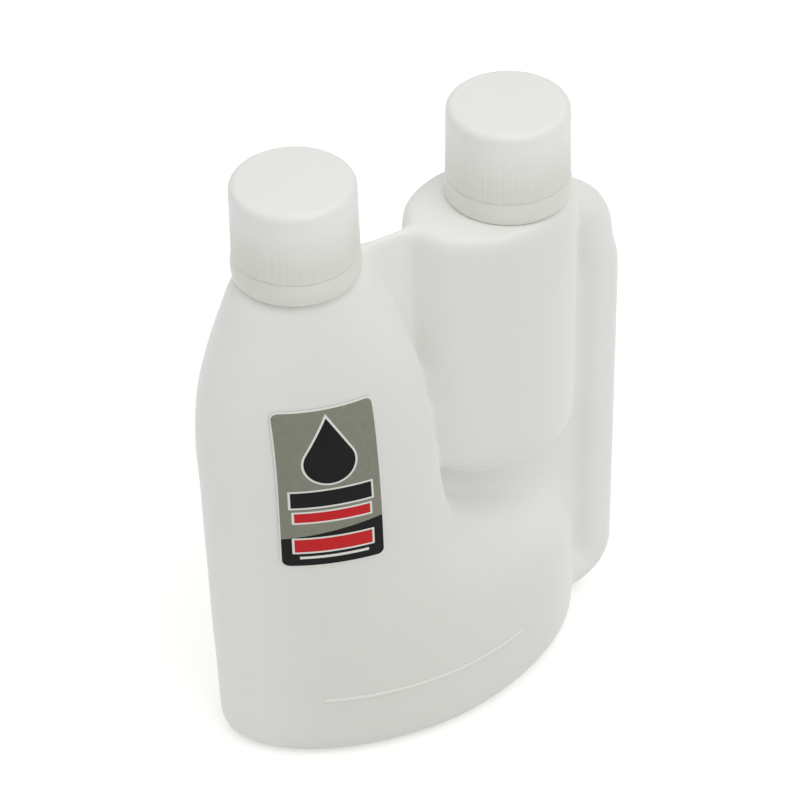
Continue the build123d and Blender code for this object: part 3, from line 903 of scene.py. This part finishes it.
class BOTTLE_OT_moulding(bpy.types.Operator):
    """Build the blown bottle with its hollows, web, feed tube and threaded necks"""

    bl_idname = "bottle.moulding"
    bl_label = "Bottle"

    def execute(self, context):
        sizes, closure = context.scene.bottle_moulding, context.scene.bottle_closures
        surface = natural_polyethylene(sizes)
        forms = [reservoir_form(sizes, 0), chamber_form(sizes, 0), tube_form(sizes, 0), web_form(sizes)]
        blend = placed("blend", joined("bottle", forms))
        step = blend.modifiers.new("Blend", "REMESH")
        step.mode, step.voxel_size = "VOXEL", sizes.voxel
        bottle = evaluated_mesh(blend, "bottle_moulding")
        relaxed(bottle, sizes.blend_rounds, sizes.blend_factor)

        thread = thread_tree()
        bottle = combined(bottle, raised_line_form(sizes), "UNION")
        for name in NECKS:
            bottle = combined(bottle, neck_form(sizes, name), "UNION")
            ridge = thread_mesh(
                "neck thread", NECK_X[name], closure, sizes.neck_radius,
                RIM_HEIGHT - closure.thread_foot, surface, thread,
            )
            bottle = combined(bottle, ridge, "UNION")
        margin = sizes.push_up_margin
        width, depth = sizes.foot_half_width - margin, sizes.foot_half_depth - margin
        levels = (-sizes.wall, sizes.push_up_depth)
        push_up = [oval(sizes.foot_x, width - level, depth - level, level) for level in levels]
        hollows = [
            lofted("push-up", push_up), reservoir_form(sizes, sizes.wall), chamber_form(sizes, sizes.wall),
            tube_form(sizes, sizes.wall),
        ]
        run_in = 4 * sizes.wall
        ends = (sizes.shoulder_top - run_in, RIM_HEIGHT + sizes.wall)
        for name in NECKS:
            hollows.append(turned("bore", NECK_X[name], [(sizes.neck_bore, height) for height in ends]))
        for hollow in hollows:
            bottle = combined(bottle, hollow, "DIFFERENCE")
        piece = finished("bottle_moulding", bottle, surface)
        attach(piece, "bottle")
        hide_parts("bottle")
        return {"FINISHED"}


class BOTTLE_OT_closures(bpy.types.Operator):
    """Build both screw caps and tamper bands, and face the sealing wads"""

    bl_idname = "bottle.closures"
    bl_label = "Caps, bands and wads"

    def execute(self, context):
        closure = context.scene.bottle_closures
        surface, wad = white_polypropylene(closure), foamed_wad(closure)
        thread, ribs = thread_tree(), rib_tree()
        bevel, chamfer, edge_steps = 0.3 * MM, closure.foot_chamfer, 12
        for name in NECKS:
            low, high = CAP_BOXES[name]
            foot, top, radius, middle = low[2], high[2], (high[0] - low[0]) / 2, NECK_X[name]
            skirt, underside = radius - closure.skirt_inset, top - closure.top_thickness
            bore, crown = skirt - closure.skirt_wall, skirt - closure.skirt_draft
            shell = turned("cap", middle, [
                (bevel, underside), (bore - bevel, underside), (bore, underside - bevel),
                (bore, foot + bevel), (bore + bevel, foot), (skirt - chamfer, foot), (skirt, foot + chamfer),
                *rounded(crown, top, closure.edge_rounding, edge_steps), (bevel, top),
            ])
            grip = grown_mesh("grip", ribs, {
                "Count": closure.rib_count,
                "Ring Radius": radius - closure.rib_radius,
                "Middle": middle,
                "Foot": foot + closure.rib_foot,
                "Height": top - foot - closure.rib_foot - closure.rib_head,
                "Rib Radius": closure.rib_radius,
                "Rib Tip": closure.rib_tip,
                "Material": surface,
            })
            ridge = thread_mesh(
                "cap thread", middle, closure, bore,
                RIM_HEIGHT - closure.thread_foot - closure.thread_lead / 2, surface, thread,
            )
            for trim in (grip, ridge, witness_form(closure, middle, skirt, foot)):
                shell = combined(shell, trim, "UNION")
            piece = finished(f"{name}_cap_shell", shell, surface)
            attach(piece, f"{name}_cap")
            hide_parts(f"{name}_cap")
            band = finished(f"{name}_band_ring", band_form(closure, name), surface)
            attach(band, "bottle")
            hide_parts(f"{name}_neck_band")
            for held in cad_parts[f"{name}_cap_liner"].material_slots:
                held.material = wad
        return {"FINISHED"}


class BOTTLE_OT_label(bpy.types.Operator):
    """Lay the printed label on the front of the reservoir"""

    bl_idname = "bottle.label"
    bl_label = "Label"

    def execute(self, context):
        sizes, label = context.scene.bottle_moulding, context.scene.bottle_label
        low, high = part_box("label")
        middle, width = (low[0] + high[0]) / 2, high[0] - low[0]
        foot, height, corner = low[2], high[2] - low[2], label.corner
        back, front = -0.1 * MM, -0.4 * MM
        corner_steps, row_count, column_count = 7, 60, 41
        rises = [corner * (1 - cos) for cos, _ in quarter(corner_steps)]
        rows = [*rises, *np.linspace(corner, height - corner, row_count)[1:-1]]
        rows += [height - rise for rise in rises[::-1]]
        rings = []
        for row in rows:
            from_end = min(row, height - row)
            drawn = corner - math.sqrt(max(corner**2 - max(corner - from_end, 0) ** 2, 0))
            columns = middle + np.linspace(-1, 1, column_count) * (width / 2 - drawn)
            level = foot + row
            ring = [(x, reservoir_front(sizes, x, level, front), level) for x in columns]
            ring += [(x, reservoir_front(sizes, x, level, back), level) for x in columns[::-1]]
            rings.append(ring)
        mesh = lofted("label_film", rings)
        flat = mesh.uv_layers.new(name="print")
        for corner_of_face in mesh.loops:
            spot = mesh.vertices[corner_of_face.vertex_index].co
            flat.data[corner_of_face.index].uv = ((spot.x - middle) / width + 0.5, (spot.z - foot) / height)
        piece = finished("label_film", mesh, printed_film(label, width, height))
        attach(piece, "bottle")
        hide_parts("label")
        return {"FINISHED"}


class BOTTLE_OT_studio(bpy.types.Operator):
    """Set the pale floor, the soft light and the camera"""

    bl_idname = "bottle.studio"
    bl_label = "Studio"

    def execute(self, context):
        scene, studio = context.scene, context.scene.bottle_studio
        self.build_floor(studio)
        self.build_light(scene, studio)
        self.build_camera(scene, studio)
        scene.view_settings.view_transform = "Standard"
        return {"FINISHED"}

    def build_floor(self, studio):
        """A wide paper floor that the camera sees as white wherever nothing shades it."""
        half = FLOOR_HALF_WIDTH
        mesh = bpy.data.meshes.new("paper_floor")
        corners = [(-half, -half, 0), (half, -half, 0), (half, half, 0), (-half, half, 0)]
        mesh.from_pydata(corners, [], [(0, 1, 2, 3)])
        surface, tree, shader, where = new_surface("white_paper")
        fibre_width, fibre_shade = 1.5 * MM, 0.99
        fibres = grow(tree, "ShaderNodeTexNoise", {"Vector": where, "Scale": 1 / fibre_width})
        paper = studio.colour_floor
        tint = grow(
            tree, "ShaderNodeMix",
            {"Factor": fibres.outputs["Fac"], "A": opaque(paper, fibre_shade), "B": opaque(paper)},
            data_type="RGBA",
        )
        ray = grow(tree, "ShaderNodeLightPath").outputs
        seen = grow(
            tree, "ShaderNodeMath", {0: ray["Is Camera Ray"], 1: ray["Is Glossy Ray"]}, operation="MAXIMUM"
        )
        lift = grow(tree, "ShaderNodeMath", {0: seen.outputs[0], 1: studio.floor_lift}, operation="MULTIPLY")
        feed(tree, shader, {
            "Base Color": tint.outputs["Result"], "Roughness": 0.9, "Specular IOR Level": 0.0,
            "Emission Color": (1, 1, 1, 1), "Emission Strength": lift.outputs[0],
        })
        mesh.materials.append(surface)
        placed("paper_floor", mesh)

    def build_light(self, scene, studio):
        """Even light all round, as in a light tent, brighter at the top, and a broad softbox in front."""
        world = bpy.data.worlds.new("light_tent")
        scene.world = world
        world.use_nodes = True
        tree = world.node_tree
        tree.nodes.clear()
        where = grow(tree, "ShaderNodeTexCoord").outputs["Generated"]
        rise = grow(tree, "ShaderNodeSeparateXYZ", {"Vector": where}).outputs["Z"]
        tent = grow(
            tree, "ShaderNodeMapRange", {"Value": rise, "To Min": studio.sky_low, "To Max": studio.sky_high}
        )
        ray = grow(tree, "ShaderNodeLightPath").outputs
        level = grow(
            tree, "ShaderNodeMapRange",
            {"Value": ray["Is Camera Ray"], "To Min": tent.outputs["Result"], "To Max": 1.0},
        )
        glow = grow(
            tree, "ShaderNodeBackground", {"Color": TENT_TINT, "Strength": level.outputs["Result"]}
        )
        grow(tree, "ShaderNodeOutputWorld", {"Surface": glow.outputs["Background"]})
        lamp = bpy.data.lights.new("front_softbox", "AREA")
        lamp.shape, lamp.size, lamp.energy = "DISK", SOFTBOX_WIDTH, studio.key_power
        softbox = bpy.data.objects.new("front_softbox", lamp)
        softbox.location = SOFTBOX_PLACE
        aim = Vector(SOFTBOX_AIM) - softbox.location
        softbox.rotation_euler = aim.to_track_quat("-Z", "Y").to_euler()
        scene.collection.objects.link(softbox)

    def build_camera(self, scene, studio):
        """The camera at the bottle's left front, looking down."""
        turn, tilt, roll = studio.turn, studio.tilt, studio.roll
        right = Vector((math.cos(turn), -math.sin(turn), 0))
        up = Vector((math.sin(turn) * math.sin(tilt), math.cos(turn) * math.sin(tilt), math.cos(tilt)))
        ahead = Vector((math.sin(turn) * math.cos(tilt), math.cos(turn) * math.cos(tilt), -math.sin(tilt)))
        spot = Vector((studio.aim_x, 0, studio.aim_z))
        spot += studio.slide_right * right + studio.slide_up * up - studio.distance * ahead
        across = math.cos(roll) * right + math.sin(roll) * up
        upward = math.cos(roll) * up - math.sin(roll) * right
        lens = bpy.data.cameras.new("camera")
        lens.sensor_width = SENSOR_WIDTH
        lens.lens = SENSOR_WIDTH * studio.pixels_per_mm * studio.distance / MM / IMAGE_SIDE
        lens.clip_start, lens.clip_end = CAMERA_CLIP
        camera = bpy.data.objects.new("camera", lens)
        axes = Matrix((across, upward, -ahead)).transposed().to_4x4()
        camera.matrix_world = Matrix.Translation(spot) @ axes
        scene.collection.objects.link(camera)
        scene.camera = camera


class BOTTLE_PT_sidebar(bpy.types.Panel):
    """Steps that build the bottle, in order"""

    bl_label = "Fuel mixing bottle"
    bl_idname = "BOTTLE_PT_sidebar"
    bl_space_type = "VIEW_3D"
    bl_region_type = "UI"
    bl_category = "Bottle"

    def draw(self, context):
        for step in STEPS:
            self.layout.operator(step.bl_idname)


GROUPS = {
    "bottle_moulding": MouldingSizes,
    "bottle_closures": ClosureSizes,
    "bottle_label": LabelSizes,
    "bottle_studio": StudioSettings,
}
STEPS = (BOTTLE_OT_studio, BOTTLE_OT_moulding, BOTTLE_OT_closures, BOTTLE_OT_label)


def register():
    for group in (*GROUPS.values(), *STEPS, BOTTLE_PT_sidebar):
        bpy.utils.register_class(group)
    for name, group in GROUPS.items():
        setattr(bpy.types.Scene, name, bpy.props.PointerProperty(type=group))


def unregister():
    for name in GROUPS:
        delattr(bpy.types.Scene, name)
    for group in (BOTTLE_PT_sidebar, *STEPS, *GROUPS.values()):
        bpy.utils.unregister_class(group)


def main():
    register()
    bpy.ops.bottle.studio()
    bpy.ops.bottle.moulding()
    bpy.ops.bottle.closures()
    bpy.ops.bottle.label()


if __name__ == "__main__":
    main()
